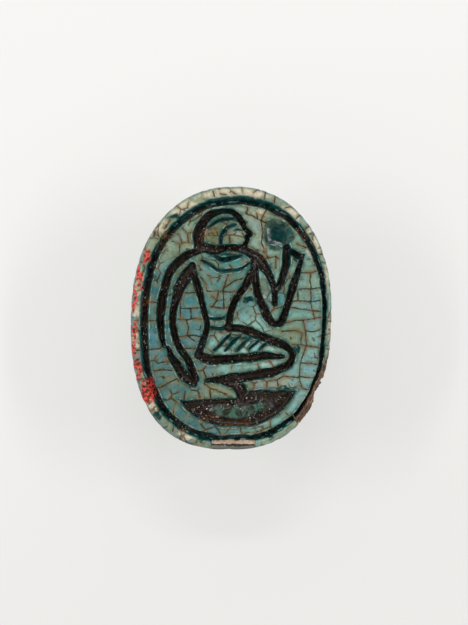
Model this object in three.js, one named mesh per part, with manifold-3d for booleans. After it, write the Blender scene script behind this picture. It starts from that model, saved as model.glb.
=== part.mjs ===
// A scarab amulet of glazed steatite, lying on its beetle back with the engraved oval face up.
// Millimetres, +Z up. The origin is under the centre of the oval, where the back touches the surface.
// +Y runs to the beetle's head and to the top of the engraved scene, and +X to the scene's right.
import * as THREE from "three";
import { mergeVertices } from "three/addons/utils/BufferGeometryUtils.js";
import Module from "manifold-3d";

const wasm = await Module();
wasm.setup();

// The whole amulet
const LENGTH = 19.8;
const WIDTH = 15.1;
const HEIGHT = 8.8;
const LEAN = 0.02; // the oval's long axis leans to +X by this much for each millimetre of +Y
const OVAL_SIDES = 80;

// The base plate that carries the engraving
const PLATE = 1.6;
const RIM_BEVEL = 0.3;

// The beetle
const FLANK_SHARE = 0.87; // the flank behind the legs, as a share of the oval
const BACK_EDGE = 5.1; // height at which the back meets the flank
const BACK = { y: -1.5, halfWidth: 6.85, halfLength: 7.75, squareness: 2.3, lip: 0.25 };
const BACK_WORN = 0.2; // how much of the crown is worn flat
const WAIST = { y: 2.3, bow: 0.022, width: 0.4 }; // the line between the fore part and the wing cases
const HEAD = { neck: 4.6, cheek: [3.1, 7.1], brow: [2, 8.7], low: 2.9, high: 6.8, bevel: 0.45, tilt: 0.2 };
const TEETH = { count: 4, depth: 0.5 }; // along the head's front edge
const EYE = { x: 2.9, y: 6.7, height: 4.3, sizes: [0.75, 0.95, 0.85] };
const LEG = { proud: 0.62, thick: 0.48, sunk: 0.06 };
// Each leg by its [angle from +X on the flank in degrees, height] at the joint, the knee and the foot.
const LEGS = [
  [[27, 5.3], [45, 6], [66, 6.4]],
  [[24, 5.4], [6, 6], [-15, 6.6]],
  [[0, 5.4], [-36, 5.8], [-74, 6.5]],
];
const BORE = { radius: 0.9, height: 5.6 }; // runs the whole length, for a cord or a ring

// The engraving
const BORDER = { x: 0.25, y: -0.1, halfWidth: 6.73, halfLength: 8.85, share: 0.07, depth: 0.45 };
const CUT = { depth: 0.55, steepness: 1.25, floor: 0.22, step: 0.5 }; // steepness and floor go by the width
const ABOVE_FACE = 0.1; // how far a cutting tool stands out of the face

// Lines of the engraving: x, y and the line's width at each point.
const ARM_LINES = {
  rearArmOutside: [
    [-1.9, 5.15, 0.3], [-3.4, 4.68, 0.5], [-4.5, 3.6, 0.55],
    [-5.1, 1.6, 0.55], [-5.28, -0.6, 0.5], [-5.02, -2.15, 0.25],
  ],
  rearArmInside: [
    [-2.95, 3.95, 0.5], [-3.4, 3.1, 0.85], [-4.1, 1.5, 0.6], [-4.4, -0.3, 0.45],
    [-4, -1.95, 0.42], [-3.2, -3.3, 0.45], [-2.65, -4.6, 0.5],
  ],
  rearHand: [[-4.75, -2.3, 0.25], [-4.3, -3.2, 0.5], [-3.6, -4.2, 0.75], [-2.85, -4.9, 0.6]],
  shoulder: [
    [0.7, 5.15, 0.45], [1.5, 4.85, 0.6], [2.3, 4.15, 0.75],
    [2.85, 3.2, 0.45], [3.25, 2.1, 0.4], [3.28, 1.1, 0.3],
  ],
  upperArm: [[1.8, 4.3, 0.6], [1.82, 2.7, 0.5], [2.2, 1.2, 0.5], [2.75, 0.15, 0.6], [3.3, -0.5, 0.35]],
  forearmOutside: [
    [3, -0.42, 0.3], [3.75, -0.35, 0.5], [4.22, 1, 0.5],
    [4.72, 2.6, 0.52], [5.12, 3.85, 0.32], [5.42, 4.8, 0.15],
  ],
  forearmInside: [[3.3, 1.9, 0.3], [3.8, 2.8, 0.45], [4.12, 3.9, 0.5], [4.2, 5.3, 0.5]],
  hand: [[4.45, 5, 0.35], [5.15, 4.65, 0.4]],
};
const BODY_LINES = {
  torsoRear: [
    [-2.95, 3.9, 0.5], [-2.5, 2.4, 0.45], [-2, 0.5, 0.36],
    [-1.8, -0.55, 0.32], [-2.1, -1.7, 0.42], [-2.5, -2.8, 0.5],
  ],
  torsoFront: [[1.75, 3.6, 0.5], [1, 2.4, 0.5], [0.3, 1.3, 0.42], [-0.05, 0.2, 0.4], [-0.15, -0.8, 0.4]],
  collarInner: [[-1.45, 4.75, 0.2], [-0.4, 4.22, 0.28], [0.75, 4.6, 0.2]],
  collarOuter: [[-2.2, 4.3, 0.2], [-0.9, 3.62, 0.26], [0.4, 3.6, 0.24], [1.4, 4.1, 0.2]],
  beltTop: [[-1.75, 0.05, 0.22], [-1, -0.02, 0.28], [-0.15, 0.12, 0.22]],
  beltBottom: [[-1.8, -0.76, 0.28], [-0.9, -0.78, 0.3], [0.1, -0.68, 0.35]],
  thighAndShin: [
    [-0.3, -0.68, 0.4], [1, -0.92, 0.5], [2.9, -1.64, 0.6], [4.15, -2.18, 0.45], [4.64, -2.8, 0.4],
    [4.2, -3.62, 0.5], [2.6, -4.15, 0.6], [0.4, -4.5, 0.75], [-1.85, -4.7, 0.25],
  ],
  lap: [
    [-2.4, -2.75, 0.5], [-1.6, -3.12, 0.66], [0.2, -3.1, 0.68],
    [2, -2.93, 0.6], [3, -2.82, 0.42], [3.95, -2.92, 0.2],
  ],
  foot: [[-0.6, -4.75, 0.4], [0.45, -5.1, 0.85], [0.85, -5.75, 0.9], [0.9, -6.3, 0.8]],
};
const HEAD_LINES = {
  wig: [
    [-2.3, 5.1, 0.5], [-2.32, 6.3, 0.5], [-1.75, 7.5, 0.42],
    [-0.6, 7.98, 0.34], [0.35, 7.75, 0.34], [0.85, 7.1, 0.36],
  ],
  profile: [
    [0.85, 7.15, 0.3], [1.05, 6.75, 0.3], [1.45, 6.35, 0.36],
    [1.2, 6.1, 0.34], [1.2, 5.75, 0.36], [0.8, 5.35, 0.4],
  ],
  throat: [[-2, 5.22, 0.3], [-0.6, 5.22, 0.34], [0.9, 5.28, 0.36]],
  wigFront: [[0.35, 7.05, 0.2], [-0.35, 6.75, 0.28], [-0.75, 6.1, 0.3], [-0.8, 5.3, 0.28]],
  eye: [[0.2, 6.6, 0.12], [0.5, 6.67, 0.2], [0.85, 6.58, 0.12]],
};
const PLEATS = { count: 5, x: -1.3, y: -2.4, spacing: 0.86, width: 0.2, length: 1.25, shortening: 0.13 };

// The basket under the figure, and the lotus in its hand: corners of their hollows.
const BASKET = { left: [-3.95, -6.15], right: [4.95, -5.4], bottom: [0.45, -8.3], depth: 0.55, wall: 0.2 };
const LOTUS = {
  foot: { left: 2.62, right: 4.3, y: 5.2, bow: 0.12 },
  left: [2.5, 6.3],
  right: [4.62, 5.95],
  top: [[2.85, 7.1], [4.05, 6.85]],
  depth: 0.5,
  wall: 0.14,
};

// The flake lost from the rim at lower right, and the nick over the bore's lower mouth.
const FLAKE = { from: [7.3, -2], to: [4.95, -8.1], slope: 0.95, reach: 1.6 };
const NICK = { x: 0.15, y: -9.5, length: 3.3, depth: 0.22 };

const power = (value, exponent) => Math.sign(value) * Math.abs(value) ** exponent;

// A point of the amulet's oval at this angle from +X: a superellipse, squarer at the foot.
function ovalPoint(angle, halfWidth, halfLength) {
  const squareness = 2 / (2.35 - 0.15 * Math.sin(angle));
  const y = halfLength * power(Math.sin(angle), squareness);
  return new THREE.Vector2(halfWidth * power(Math.cos(angle), squareness) + LEAN * y, y);
}

// Turns a profile of [share of the oval, height] round the Z axis, following the oval instead of a circle.
function ovalLathe(profile, halfWidth, halfLength) {
  const points = profile.map(([share, height]) => new THREE.Vector2(share, height));
  const geometry = new THREE.LatheGeometry(points, OVAL_SIDES);
  const position = geometry.getAttribute("position");
  for (let i = 0; i < position.count; i++) {
    const across = position.getX(i);
    const along = -position.getZ(i);
    const share = Math.hypot(across, along);
    const rim = ovalPoint(Math.atan2(along, across), halfWidth, halfLength);
    position.setXYZ(i, share * rim.x, share * rim.y, position.getY(i));
  }
  return geometry;
}

// A closed three.js geometry as a solid that can be joined and cut.
function solid(geometry) {
  const bare = new THREE.BufferGeometry().setAttribute("position", geometry.getAttribute("position").clone());
  if (geometry.index) bare.setIndex(geometry.index);
  const merged = mergeVertices(bare, 1e-4);
  const vertProperties = merged.attributes.position.array;
  const triVerts = new Uint32Array(merged.index.array);
  return new wasm.Manifold(new wasm.Mesh({ numProp: 3, vertProperties, triVerts }));
}

const joined = (solids) => solids.reduce((all, one) => all.add(one));

// An ellipsoid with squared-off sides: sizes are half-lengths along X, Y and Z.
function boulder(centre, sizes, squareness, sides) {
  const geometry = new THREE.SphereGeometry(1, sides, Math.round(sides / 2));
  const position = geometry.getAttribute("position");
  for (let i = 0; i < position.count; i++) {
    const height = THREE.MathUtils.clamp(position.getY(i), -1, 1);
    const girth = Math.sqrt(1 - height * height);
    const angle = Math.atan2(-position.getZ(i), position.getX(i));
    const round = power(girth, 2 / squareness);
    position.setXYZ(
      i,
      centre[0] + sizes[0] * round * power(Math.cos(angle), 2 / squareness),
      centre[1] + sizes[1] * round * power(Math.sin(angle), 2 / squareness),
      centre[2] + sizes[2] * power(height, 2 / squareness),
    );
  }
  return solid(geometry);
}

// The plate with its bevelled rim.
function plate() {
  const low = HEIGHT - PLATE;
  const profile = [
    [0, low], [0.955, low], [0.99, low + 0.15], [1, low + 0.35], [1, HEIGHT - 0.35],
    [0.988, HEIGHT - 0.12], [1 - (2 * RIM_BEVEL) / WIDTH, HEIGHT], [0, HEIGHT],
  ];
  return solid(ovalLathe(profile, WIDTH / 2, LENGTH / 2));
}

// The beetle's flanks, between the plate and the back.
function flanks() {
  const inPlate = HEIGHT - PLATE / 2;
  const inBack = BACK_EDGE - 0.8;
  const profile = [
    [0, inBack], [FLANK_SHARE - 0.05, inBack], [FLANK_SHARE, BACK_EDGE],
    [FLANK_SHARE + 0.02, inPlate], [0, inPlate],
  ];
  return solid(ovalLathe(profile, WIDTH / 2, LENGTH / 2));
}

// The domed back, its crown worn flat where the amulet lies.
function back() {
  const dome = boulder([0, BACK.y, BACK_EDGE], [BACK.halfWidth, BACK.halfLength, BACK_EDGE + BACK_WORN],
    BACK.squareness, 44);
  const top = BACK_EDGE + BACK.lip;
  const below = new THREE.BoxGeometry(2 * WIDTH, 2 * LENGTH, top).translate(0, 0, top / 2);
  return dome.intersect(solid(below));
}

// Height of the back over the surface that it lies on.
function backHeight(x, y) {
  const across = Math.abs(x / BACK.halfWidth) ** BACK.squareness;
  const along = Math.abs((y - BACK.y) / BACK.halfLength) ** BACK.squareness;
  const share = Math.max(0, 1 - across - along) ** (1 / BACK.squareness);
  return Math.max(0, BACK_EDGE - (BACK_EDGE + BACK_WORN) * share);
}

// A round bar of half-axes out and up that follows these points.
function bar(points, steps, out, up) {
  const section = new THREE.Shape().absellipse(0, 0, up, out, 0, 2 * Math.PI);
  const extrudePath = new THREE.CatmullRomCurve3(points);
  const settings = { steps, curveSegments: 4, bevelEnabled: false, extrudePath };
  return solid(new THREE.ExtrudeGeometry(section, settings));
}

// A half-round line cut in the back along the plan that place(share) gives, from share 0 to 1.
function backLine(place, steps) {
  const points = Array.from({ length: steps + 1 }, (_, i) => {
    const [x, y] = place(i / steps);
    return new THREE.Vector3(x, y, backHeight(x, y));
  });
  return bar(points, 2 * steps, WAIST.width / 2, WAIST.width / 2);
}

// The line behind the fore part, and the seam between the wing cases.
function backLines() {
  const waist = (x) => WAIST.y - WAIST.bow * x * x;
  const tail = BACK.y - BACK.halfLength + 0.15;
  const edge = 0.97 * BACK.halfWidth;
  const across = (share) => {
    const x = THREE.MathUtils.lerp(-edge, edge, share);
    return [x, waist(x)];
  };
  const along = (share) => [0, THREE.MathUtils.lerp(waist(0), tail, share)];
  return joined([backLine(across, 14), backLine(along, 10)]);
}

// The head: a plate that widens to the cheeks and ends in a toothed shovel.
function head() {
  const outline = new THREE.Shape();
  const [browX, browY] = HEAD.brow;
  const [cheekX, cheekY] = HEAD.cheek;
  outline.moveTo(-cheekX, HEAD.neck);
  outline.lineTo(cheekX, HEAD.neck);
  outline.lineTo(cheekX, cheekY);
  const toothWidth = (2 * browX) / TEETH.count;
  for (let tooth = 0; tooth < TEETH.count; tooth++) {
    const right = browX - tooth * toothWidth;
    outline.lineTo(right, browY);
    outline.lineTo(right - toothWidth / 2, browY + TEETH.depth);
  }
  outline.lineTo(-browX, browY);
  outline.lineTo(-cheekX, cheekY);
  const { bevel } = HEAD;
  const geometry = new THREE.ExtrudeGeometry(outline, {
    depth: HEAD.high - HEAD.low - bevel,
    bevelSegments: 2,
    bevelThickness: bevel,
    bevelSize: bevel,
    bevelOffset: -bevel,
  });
  geometry.translate(0, -HEAD.neck, HEAD.low + bevel).rotateX(HEAD.tilt).translate(0, HEAD.neck, 0);
  const eyes = [-1, 1].map((side) => boulder([side * EYE.x, EYE.y, EYE.height], EYE.sizes, 2, 12));
  return joined([solid(geometry), ...eyes]);
}

// One leg, a ridge that bends along the flank and sinks into it at both ends.
function leg(side, stations) {
  const points = stations.map(([angle, height], i) => {
    const share = FLANK_SHARE - (i === 1 ? 0 : LEG.sunk);
    const flank = ovalPoint(THREE.MathUtils.degToRad(angle), WIDTH / 2, LENGTH / 2).multiplyScalar(share);
    return new THREE.Vector3(side * flank.x, flank.y, height);
  });
  return bar(points, 10, LEG.proud, LEG.thick);
}

function beetle() {
  const legs = [-1, 1].flatMap((side) => LEGS.map((stations) => leg(side, stations)));
  return joined([flanks(), back(), head(), ...legs]);
}

// A line of the engraving: a flat-floored V, as wide as its points say and deeper where it is wider.
function faceLine(points) {
  const curve = new THREE.CatmullRomCurve3(points.map(([x, y, width]) => new THREE.Vector3(x, y, width)));
  const steps = Math.max(3, Math.round(curve.getLength() / CUT.step));
  const stations = curve.getSpacedPoints(steps);
  const vertices = [];
  stations.forEach((here, i) => {
    const before = stations[Math.max(0, i - 1)];
    const after = stations[Math.min(steps, i + 1)];
    const across = new THREE.Vector2(before.y - after.y, after.x - before.x).normalize();
    const width = here.z;
    const depth = Math.min(CUT.depth, CUT.steepness * width);
    const floor = CUT.floor * width;
    const mouth = width / 2 + ((width / 2 - floor) * ABOVE_FACE) / depth;
    for (const [out, up] of [[-mouth, ABOVE_FACE], [-floor, -depth], [floor, -depth], [mouth, ABOVE_FACE]])
      vertices.push(here.x + out * across.x, here.y + out * across.y, HEIGHT + up);
  });
  const corners = 4;
  const faces = [0, 2, 1, 0, 3, 2];
  for (let i = 0; i < steps; i++)
    for (let c = 0; c < corners; c++) {
      const [a, b] = [i * corners + c, i * corners + ((c + 1) % corners)];
      faces.push(a, b, a + corners, b, b + corners, a + corners);
    }
  const last = steps * corners;
  faces.push(last, last + 1, last + 2, last, last + 2, last + 3);
  const geometry = new THREE.BufferGeometry();
  geometry.setAttribute("position", new THREE.Float32BufferAttribute(vertices, 3));
  return solid(geometry.setIndex(faces));
}

// A hollow cut down from the face inside this outline, with sloping walls.
function hollow(outline, depth, wall) {
  const geometry = new THREE.ExtrudeGeometry(outline, {
    depth: ABOVE_FACE,
    curveSegments: 8,
    bevelSegments: 1,
    bevelThickness: depth,
    bevelSize: wall,
    bevelOffset: -wall,
  });
  return solid(geometry.translate(0, 0, HEIGHT));
}

// The basket: a shallow bowl in profile, its brim rising in a step to the right.
function basketOutline() {
  const { left, right, bottom } = BASKET;
  const outline = new THREE.Shape();
  outline.moveTo(...left);
  outline.quadraticCurveTo(left[0] + 1.2, bottom[1] + 0.1, ...bottom);
  outline.quadraticCurveTo(right[0] - 1.1, bottom[1] + 0.2, ...right);
  outline.lineTo(1.4, right[1]);
  outline.lineTo(0.3, -6);
  return outline;
}

// The lotus: a bloom that widens from its stalk, its foot slightly bowed.
function lotusOutline() {
  const { foot } = LOTUS;
  const outline = new THREE.Shape();
  outline.moveTo(foot.left, foot.y);
  outline.quadraticCurveTo((foot.left + foot.right) / 2, foot.y - foot.bow, foot.right, foot.y);
  outline.lineTo(...LOTUS.right);
  outline.quadraticCurveTo(LOTUS.top[1][0] + 0.2, LOTUS.right[1] + 0.55, ...LOTUS.top[1]);
  outline.lineTo(...LOTUS.top[0]);
  outline.quadraticCurveTo(LOTUS.left[0] - 0.02, LOTUS.left[1] + 0.35, ...LOTUS.left);
  return outline;
}

// Slanting folds of the kilt, from the lap up to the thigh.
function pleats() {
  return Array.from({ length: PLEATS.count }, (_, i) => {
    const reach = PLEATS.length - PLEATS.shortening * i;
    const x = PLEATS.x + PLEATS.spacing * i;
    return faceLine([
      [x, PLEATS.y, PLEATS.width],
      [x + 0.5 * reach, PLEATS.y + 0.46 * reach, 1.2 * PLEATS.width],
      [x + reach, PLEATS.y + 0.92 * reach, 0.8 * PLEATS.width],
    ]);
  });
}

// The oval line that frames the scene, as a ring with a V section.
function border() {
  const { share, depth, halfWidth, halfLength } = BORDER;
  const mouth = (share / 2) * (1 + ABOVE_FACE / depth);
  const floor = share / 8;
  const profile = [
    [1 - mouth, HEIGHT + ABOVE_FACE], [1 - floor, HEIGHT - depth], [1 + floor, HEIGHT - depth],
    [1 + mouth, HEIGHT + ABOVE_FACE], [1 - mouth, HEIGHT + ABOVE_FACE],
  ];
  return solid(ovalLathe(profile, halfWidth, halfLength).translate(BORDER.x, BORDER.y, 0));
}

function engraving() {
  const lines = [ARM_LINES, BODY_LINES, HEAD_LINES].flatMap((group) => Object.values(group));
  return joined([
    border(),
    ...lines.map(faceLine),
    ...pleats(),
    hollow(basketOutline(), BASKET.depth, BASKET.wall),
    hollow(lotusOutline(), LOTUS.depth, LOTUS.wall),
  ]);
}

// A slab whose lower face slopes down and out from the line between two points of the face.
function flake() {
  const from = new THREE.Vector2(...FLAKE.from);
  const to = new THREE.Vector2(...FLAKE.to);
  const along = to.clone().sub(from);
  const slab = new THREE.BoxGeometry(2 * FLAKE.reach, along.length(), FLAKE.reach)
    .translate(FLAKE.reach, 0, FLAKE.reach / 2)
    .rotateY(FLAKE.slope)
    .rotateZ(along.angle() + Math.PI / 2)
    .translate((from.x + to.x) / 2, (from.y + to.y) / 2, HEIGHT);
  return solid(slab);
}

function nick() {
  return solid(new THREE.BoxGeometry(NICK.length, 1, 2 * NICK.depth).translate(NICK.x, NICK.y - 0.5, HEIGHT));
}

function bore() {
  const drill = new THREE.CylinderGeometry(BORE.radius, BORE.radius, 2 * LENGTH, 20);
  return solid(drill.translate(0, 0, BORE.height));
}

function amulet() {
  const body = plate().add(beetle());
  const cuts = joined([engraving(), backLines(), bore(), flake(), nick()]);
  // Crumbs left standing between crossing lines break out.
  const pieces = body.subtract(cuts).decompose();
  return pieces.reduce((largest, piece) => (piece.volume() > largest.volume() ? piece : largest));
}

// A solid back as a mesh that three.js can show.
function toMesh(made, name, material) {
  const mesh = made.getMesh();
  const geometry = new THREE.BufferGeometry();
  geometry.setAttribute("position", new THREE.Float32BufferAttribute(mesh.vertProperties, 3));
  geometry.setIndex(Array.from(mesh.triVerts));
  geometry.computeVertexNormals();
  const shown = new THREE.Mesh(geometry, material);
  shown.name = name;
  return shown;
}

const glazedSteatite = new THREE.MeshStandardMaterial({ color: 0x5f938f, roughness: 0.25, metalness: 0 });

const part = new THREE.Group();
part.add(toMesh(amulet(), "scarab", glazedSteatite));

export default part;
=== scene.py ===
"""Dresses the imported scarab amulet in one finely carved, glazed and crackled mesh.

Shapes are worked out in millimetres and given to Blender in metres. +Z is up, out of the engraved face, +Y
runs to the beetle's head and the top of the scene, and +X to the scene's right. The amulet lies on its back.
"""

import itertools
import math

import bpy
import mathutils
import numpy as np
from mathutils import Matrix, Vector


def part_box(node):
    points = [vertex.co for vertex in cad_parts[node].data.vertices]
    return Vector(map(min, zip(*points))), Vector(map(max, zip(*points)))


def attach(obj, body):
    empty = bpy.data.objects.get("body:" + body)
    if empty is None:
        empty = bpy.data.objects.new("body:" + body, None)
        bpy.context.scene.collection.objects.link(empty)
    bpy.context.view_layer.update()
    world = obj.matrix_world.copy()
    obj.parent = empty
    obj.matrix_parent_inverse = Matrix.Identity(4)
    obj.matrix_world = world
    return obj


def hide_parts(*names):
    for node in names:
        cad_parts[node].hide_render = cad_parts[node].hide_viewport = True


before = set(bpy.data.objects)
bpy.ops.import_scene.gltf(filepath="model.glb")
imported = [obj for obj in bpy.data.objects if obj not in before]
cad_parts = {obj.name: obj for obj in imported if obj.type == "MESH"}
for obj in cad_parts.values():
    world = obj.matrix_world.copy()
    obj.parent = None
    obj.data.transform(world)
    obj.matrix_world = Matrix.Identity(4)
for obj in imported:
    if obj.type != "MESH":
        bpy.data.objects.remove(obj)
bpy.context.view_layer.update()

MM = 0.001
LOW, HIGH = (np.array(corner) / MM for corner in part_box("scarab"))
HALF_WIDTH = (HIGH[0] - LOW[0]) / 2
HALF_LENGTH = (HIGH[1] - LOW[1]) / 2
HEIGHT = HIGH[2]

FAR = 99  # a distance or height that nothing reaches
FACE_REACH = 1.1  # what lies less than this below the face is painted as part of it

# ------------------------------------ sizes, in millimetres: the CAD model's forms, with its cuts refined

LEAN = 0.02  # the oval's long axis leans to +X by this much for each millimetre of +Y
SQUARENESS = {"middle": 2.35, "lower_end": 0.15}  # the oval's exponent, and how much it grows below
PLATE = 1.6  # thickness of the plate that carries the engraving
# Radius of the rim's outer edge at these angles from +X.
RIM_ROUND = ((-180, 0.6), (-135, 0.45), (-90, 0.4), (-45, 0.35), (0, 0.3), (45, 0.4), (90, 0.5), (135, 0.65))
SHARP = 0.05  # radius of the outer edge in the break
FLANK_SHARE = 0.87  # how wide the beetle's flank is beside the plate
TUCK = 0.3  # height of the plate's underside that curves in to the flank
BACK_EDGE = 5.1  # height of the back's edge over the surface below
BACK = {"y": -1.5, "half_width": 6.85, "half_length": 7.75, "squareness": 2.3}
BACK_WORN = 0.2  # how much of the back's crown has worn flat
WAIST = {"y": 2.3, "bow": 0.022, "width": 0.4}
HEAD = {"neck": 4.6, "cheek": (3.1, 7.1), "brow": (2.0, 8.7), "low": 2.9, "tilt": 0.2}
TEETH = {"count": 4, "depth": 0.5}
EYE = {"x": 2.9, "y": 6.7, "height": 4.3, "sizes": (0.75, 0.95, 0.85)}
LEG = {"proud": 0.55, "thick": 0.5}
LEGS = (
    ((27, 5.3), (45, 6), (66, 6.4)),
    ((24, 5.4), (6, 6), (-15, 6.6)),
    ((0, 5.4), (-36, 5.8), (-74, 6.5)),
)
BORE = {"radius": 0.9, "height": 5.6}

# Where the rim is broken away: the break's edge on the face, and where it leaves the plate below.
BREAK_TOP = (
    (7.42, -2.3), (7.2, -2.9), (6.94, -3.48), (6.62, -4.2), (6.3, -4.9), (5.78, -5.98), (5.42, -6.75),
    (5.0, -7.3), (4.72, -7.52),
)
BREAK_FOOT = (
    (7.5, -2.3), (7.46, -3.1), (7.3, -3.8), (7.14, -4.4), (6.6, -5.2), (6.42, -5.7), (6.3, -6.15),
    (6.2, -6.7), (6.1, -7.07), (5.72, -7.36), (5.8, -7.6), (5.3, -8.05), (5.2, -8.2),
)
NICK = {"left": -1.5, "right": 1.8, "y": -9.12, "depth": 0.2}

# The line round the scene, its width at these angles from +X, and how much gentler its outer slope is there.
BORDER = {"x": 0.25, "y": -0.17, "half_width": 6.73, "half_length": 8.78, "depth": 0.5}
BORDER_WIDTHS = (
    (-180, 0.62), (-135, 0.42), (-90, 0.32), (-45, 0.34), (0, 0.32), (45, 0.4), (90, 0.2), (135, 0.34),
)
BORDER_DIRT = ((-180, 1), (-135, 0.7), (-90, 0.4), (-45, 0.5), (0, 0.4), (45, 1), (90, 0.8), (135, 0.8))
BORDER_SLOPES = (
    (-180, 0.16), (-135, 0.4), (-90, 0.45), (-45, 0.2), (0, 0.12), (45, 0.4), (90, 0.8), (135, 0.5),
)

# Lines of the engraving: x, y and the line's width at each point.
LINES = {
    "rear_arm_outside": (
        (-1.9, 5.15, 0.3), (-3.4, 4.68, 0.5), (-4.5, 3.6, 0.55), (-5.1, 1.6, 0.55), (-5.28, -0.6, 0.5),
        (-5.02, -2.15, 0.25),
    ),
    "rear_arm_inside": (
        (-2.95, 3.95, 0.5), (-3.4, 3.1, 0.85), (-4.1, 1.5, 0.6), (-4.4, -0.3, 0.45), (-4, -1.95, 0.42),
        (-3.2, -3.3, 0.45), (-2.65, -4.6, 0.5),
    ),
    "rear_hand": ((-4.75, -2.3, 0.25), (-4.3, -3.2, 0.5), (-3.6, -4.2, 0.75), (-2.85, -4.9, 0.6)),
    "shoulder": (
        (0.7, 5.15, 0.45), (1.5, 4.85, 0.6), (2.3, 4.15, 0.75), (2.85, 3.2, 0.45), (3.25, 2.1, 0.4),
        (3.28, 1.1, 0.3),
    ),
    "upper_arm": ((1.8, 4.3, 0.6), (1.82, 2.7, 0.5), (2.2, 1.2, 0.5), (2.75, 0.15, 0.6), (3.3, -0.5, 0.35)),
    "forearm_outside": (
        (3, -0.42, 0.3), (3.75, -0.35, 0.5), (4.22, 1, 0.5), (4.72, 2.6, 0.52), (5.12, 3.85, 0.32),
        (5.42, 4.8, 0.15),
    ),
    "forearm_inside": ((3.3, 1.9, 0.3), (3.8, 2.8, 0.45), (4.12, 3.9, 0.5), (4.2, 5.3, 0.5)),
    "hand": ((4.45, 5, 0.35), (5.15, 4.65, 0.4)),
    "torso_rear": (
        (-2.95, 3.9, 0.5), (-2.5, 2.4, 0.45), (-2, 0.5, 0.36), (-1.8, -0.55, 0.32), (-2.1, -1.7, 0.42),
        (-2.5, -2.8, 0.5),
    ),
    "torso_front": (
        (1.75, 3.6, 0.5), (1, 2.4, 0.5), (0.3, 1.3, 0.42), (-0.05, 0.2, 0.4), (-0.15, -0.8, 0.4),
    ),
    "collar_inner": ((-1.55, 4.75, 0.2), (-0.4, 4.36, 0.4), (0.8, 4.66, 0.2)),
    "collar_outer": ((-2.2, 4.3, 0.2), (-0.9, 3.62, 0.26), (0.4, 3.6, 0.24), (1.4, 4.1, 0.2)),
    "belt_top": ((-1.75, 0.05, 0.22), (-1, -0.02, 0.28), (-0.15, 0.12, 0.22)),
    "belt_bottom": ((-1.8, -0.76, 0.28), (-0.9, -0.78, 0.3), (0.1, -0.68, 0.35)),
    "thigh_and_shin": (
        (-0.3, -0.68, 0.4), (1, -0.92, 0.5), (2.9, -1.64, 0.6), (4.15, -2.18, 0.45), (4.64, -2.8, 0.4),
        (4.2, -3.62, 0.5), (2.6, -4.15, 0.6), (0.4, -4.5, 0.75), (-1.85, -4.7, 0.25),
    ),
    "lap": (
        (-2.4, -2.75, 0.5), (-1.6, -3.12, 0.66), (0.2, -3.1, 0.68), (2, -2.93, 0.6), (3, -2.82, 0.42),
        (3.95, -2.92, 0.2),
    ),
    "foot": ((-0.6, -4.75, 0.4), (0.45, -5.1, 0.85), (0.85, -5.75, 0.9), (0.9, -6.3, 0.8)),
    "wig": (
        (-2.4, 5.2, 0.7), (-2.42, 6.3, 0.72), (-1.85, 7.5, 0.55), (-0.6, 8.02, 0.32), (0.35, 7.78, 0.34),
        (0.9, 7.1, 0.4),
    ),
    "profile": (
        (0.85, 7.15, 0.3), (1.05, 6.75, 0.3), (1.45, 6.35, 0.36), (1.2, 6.1, 0.34), (1.2, 5.75, 0.36),
        (0.8, 5.35, 0.4),
    ),
    "throat": ((-2, 5.25, 0.6), (-1.2, 5.12, 0.62), (-0.3, 5.26, 0.42), (1, 5.2, 0.6)),
    "wig_front": ((0.35, 7.05, 0.2), (-0.35, 6.75, 0.28), (-0.75, 6.1, 0.3), (-0.8, 5.3, 0.28)),
    "hair_band": ((-1.7, 6.75, 0.22), (-1.0, 7.3, 0.3), (0.1, 7.42, 0.28), (0.6, 7.25, 0.2)),
    "eye": ((0.2, 6.6, 0.12), (0.5, 6.67, 0.2), (0.85, 6.58, 0.12)),
}
PLEATS = {"count": 5, "x": -1.3, "y": -2.4, "spacing": 0.86}
PLEAT = {"width": 0.24, "length": 1.25, "shortening": 0.13}
CUT_DEPTH = 0.6
CUT_STEEPNESS = 1.25
SPREAD = 0.1  # how much wider than its given width each deep line has worn
FINE_LINES = ("collar_inner", "collar_outer", "belt_top", "belt_bottom", "wig_front", "hair_band", "eye")
FINE_DEPTH = 0.75  # share of a deep line's depth
PAINTED_HIGHLIGHT_LINES = (  # a painted highlight line runs along the middle of each of these cuts
    "rear_arm_inside", "torso_rear", "torso_front", "shoulder", "upper_arm", "forearm_outside",
    "forearm_inside", "thigh_and_shin",
)

BASKET = {"left": (-3.95, -6.15), "right": (4.95, -5.4), "bottom": (0.45, -8.3), "depth": 0.6, "wall": 0.3}
BASKET_BED = ((0.2, -7.05, 2.2, 0.7), (1.9, -6.75, 1.6, 0.55))
LOTUS = {  # shallower than in the CAD model
    "foot": {"left": 2.62, "right": 4.3, "y": 5.2, "bow": 0.12},
    "left": (2.5, 6.4),
    "right": (4.62, 6.05),
    "top": ((2.85, 7.35), (4.0, 7.15)),
    "depth": 0.22,
    "wall": 0.8,
}

# ---------------------------------------------------------------- colours, as sRGB from 0 to 255


def srgb(*levels):
    shares = np.array(levels) / 255
    return np.where(shares <= 0.04045, shares / 12.92, ((shares + 0.055) / 1.055) ** 2.4)


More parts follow.
